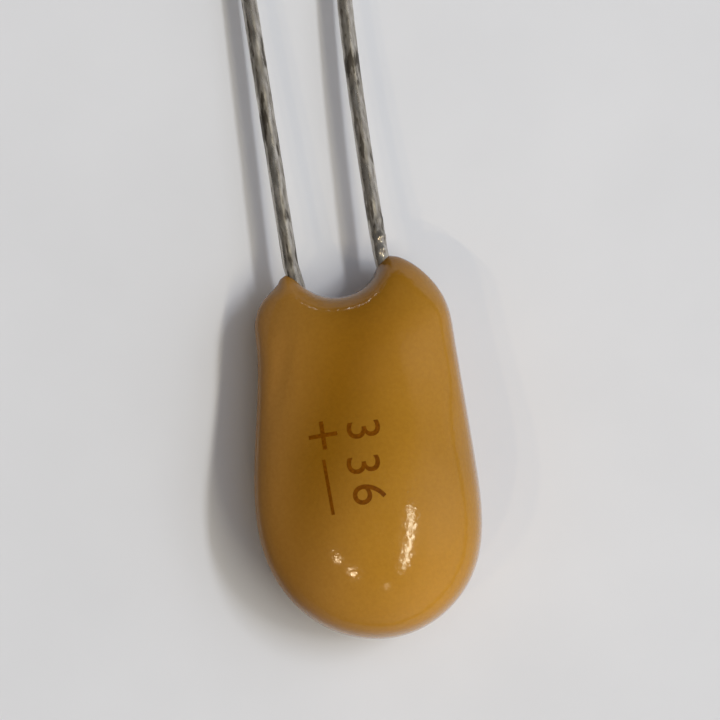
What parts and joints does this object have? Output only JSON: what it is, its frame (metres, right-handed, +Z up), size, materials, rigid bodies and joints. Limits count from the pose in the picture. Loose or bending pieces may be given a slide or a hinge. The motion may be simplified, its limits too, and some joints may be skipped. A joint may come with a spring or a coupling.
{
  "type": "dipped tantalum capacitor",
  "caption": "Glossy brown epoxy drop over a sintered tantalum slug, with radial tinned wire leads for through-hole soldering, lying on its belly and lead tips.",
  "frame": {"origin": "on the surface that the part lies on, below the middle of its width and length", "axes": "+Y along the length, from the drop towards the lead tips; +X from the positive lead to the negative lead; +Z up, across the thickness"},
  "size_m": [0.0072, 0.0328, 0.0052],
  "materials": {
    "brown_epoxy": "gloss",
    "tinned_wire": "satin",
    "sintered_tantalum": "matt",
    "drawn_tantalum": "satin",
    "white_washer": "matt",
    "manganese_dioxide": "matt",
    "graphite": "satin",
    "silver_paint": "matt",
    "solder": "satin"
  },
  "bodies": {
    "root": {"epoxy_coat": "brown_epoxy", "positive_lead": "tinned_wire", "negative_lead": "tinned_wire", "anode_slug": "sintered_tantalum", "riser_wire": "drawn_tantalum", "riser_washer": "white_washer", "manganese_dioxide_coat": "manganese_dioxide", "graphite_coat": "graphite", "silver_coat": "silver_paint", "solder_bead": "solder"}
  },
  "joints": []
}
